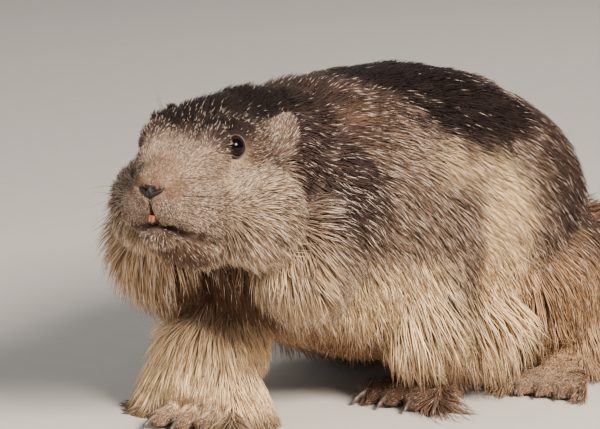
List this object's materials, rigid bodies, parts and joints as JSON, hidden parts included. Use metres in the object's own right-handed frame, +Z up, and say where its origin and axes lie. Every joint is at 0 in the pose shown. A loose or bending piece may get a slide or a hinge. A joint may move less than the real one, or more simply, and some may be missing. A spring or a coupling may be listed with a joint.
{
  "type": "alpine marmot",
  "caption": "Life-size alpine marmot standing low on all fours, head up and turned a little to its left, with a thick grizzled coat and a bushy tail.",
  "frame": {"origin": "middle of the bounding box in plan, on the floor the feet stand on", "axes": "+X to the animal's left, +Y from the nose towards the tail, +Z up"},
  "size_m": [0.2294, 0.54, 0.1985],
  "materials": {
    "coat": "dense grizzled brown-grey fur",
    "dark_coat": "dark brown bushy fur",
    "pale_coat": "cream to tawny fur",
    "eye": "wet, near black",
    "nose": "bare leathery skin, dark brown",
    "claw": "satin horn",
    "tooth": "orange enamel"
  },
  "bodies": {
    "root": {"eye_left": "eye", "eye_right": "eye", "ear_left": "coat", "ear_right": "coat", "incisor_left": "tooth", "incisor_right": "tooth", "nose": "nose", "claw_fore_right_1": "claw", "claw_fore_right_2": "claw", "claw_fore_right_3": "claw", "claw_fore_right_4": "claw", "foreleg_right": "pale_coat", "forepaw_right": "pale_coat", "claw_fore_left_1": "claw", "claw_fore_left_2": "claw", "claw_fore_left_3": "claw", "claw_fore_left_4": "claw", "foreleg_left": "pale_coat", "forepaw_left": "pale_coat", "claw_hind_left_1": "claw", "claw_hind_left_2": "claw", "claw_hind_left_3": "claw", "claw_hind_left_4": "claw", "claw_hind_left_5": "claw", "thigh_left": "pale_coat", "hindfoot_left": "pale_coat", "claw_hind_right_1": "claw", "claw_hind_right_2": "claw", "claw_hind_right_3": "claw", "claw_hind_right_4": "claw", "claw_hind_right_5": "claw", "thigh_right": "pale_coat", "hindfoot_right": "pale_coat", "tail": "dark_coat", "head": "coat", "neck": "coat", "torso": "coat", "rump": "coat"}
  },
  "joints": []
}
